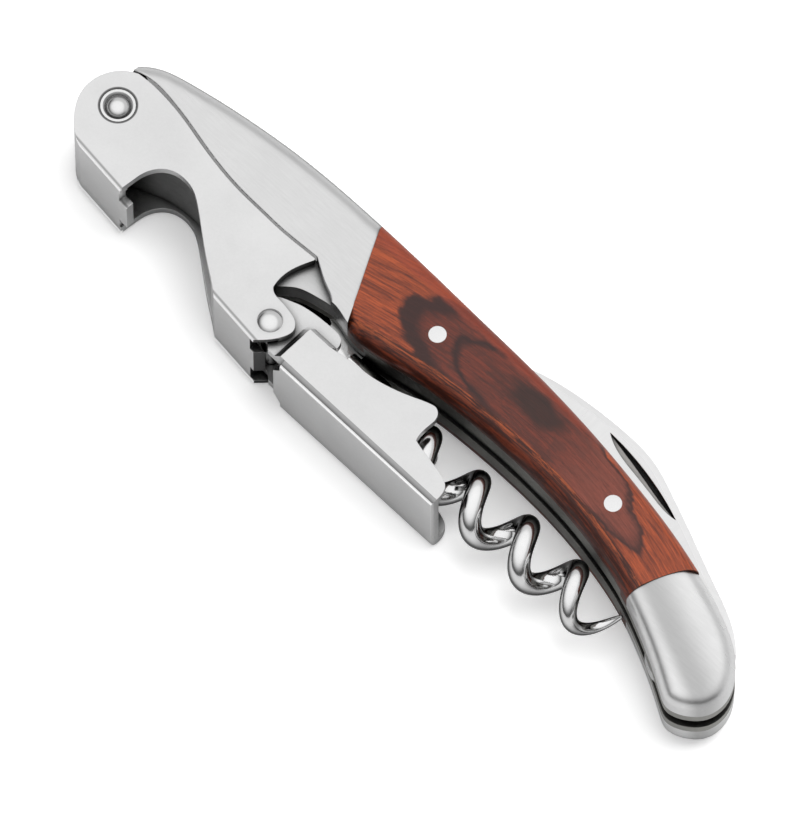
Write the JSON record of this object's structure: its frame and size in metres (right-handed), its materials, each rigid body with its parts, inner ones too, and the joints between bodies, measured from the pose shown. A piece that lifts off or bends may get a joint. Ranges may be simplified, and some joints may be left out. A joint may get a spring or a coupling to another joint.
{
  "type": "waiters corkscrew",
  "caption": "Folding bottle opener: two-step hinged lever with crown-cap mouth, wire worm and foil blade in a wood-scaled steel handle.",
  "frame": {"origin": "centre of the bounding box of the closed tool, on the mid-plane between the two liners", "axes": "+X along the handle from the lever pivot to the butt, +Y towards the back edge where the foil blade folds, +Z through the thickness; the tool lies on its side"},
  "size_m": [0.1193, 0.027, 0.0154],
  "materials": {
    "liner_steel": "dull, slightly dark",
    "spring_steel": "ground",
    "bolster_steel": "satin",
    "lever_steel": "satin",
    "pin_steel": "polished",
    "worm_steel": "polished",
    "blade_steel": "fine satin",
    "red_wood": "dyed laminated wood, sealed"
  },
  "bodies": {
    "handle": {"liner_top": "liner_steel", "liner_bottom": "liner_steel", "scale_top": "red_wood", "scale_bottom": "red_wood", "front_bolster_top": "bolster_steel", "front_bolster_bottom": "bolster_steel", "rear_bolster_top": "bolster_steel", "rear_bolster_bottom": "bolster_steel", "front_spacer": "liner_steel", "back_spring": "spring_steel", "lever_sleeve": "pin_steel", "lever_rivet": "pin_steel", "scale_pins": "pin_steel", "bolster_pins": "pin_steel", "worm_pin": "pin_steel", "blade_pin": "pin_steel"},
    "lever": {"first_lever": "lever_steel", "link_rivet": "pin_steel"},
    "step": {"second_lever": "lever_steel"},
    "screw": {"worm": "worm_steel"},
    "knife": {"foil_blade": "blade_steel"}
  },
  "joints": [
    {"name": "lever_hinge", "type": "hinge", "parent": "handle", "child": "lever", "pos_m": [-0.05471, -0.00212, 0], "axis": [0, 0, -1], "range_deg": [0, 100]},
    {"name": "step_hinge", "type": "hinge", "parent": "lever", "child": "step", "pos_m": [-0.01885, -0.00982, 0], "axis": [0, 0, -1], "range_deg": [0, 38]},
    {"name": "worm_hinge", "type": "hinge", "parent": "handle", "child": "screw", "pos_m": [-0.01375, 0.00042, 0], "axis": [0, 0, -1], "range_deg": [0, 90]},
    {"name": "blade_hinge", "type": "hinge", "parent": "handle", "child": "knife", "pos_m": [0.05075, -0.00258, 0], "axis": [0, 0, -1], "range_deg": [0, 175]}
  ],
  "couplings": [
    {"joint": "worm_hinge", "follows": "lever_hinge", "ratio": 0.9}
  ]
}
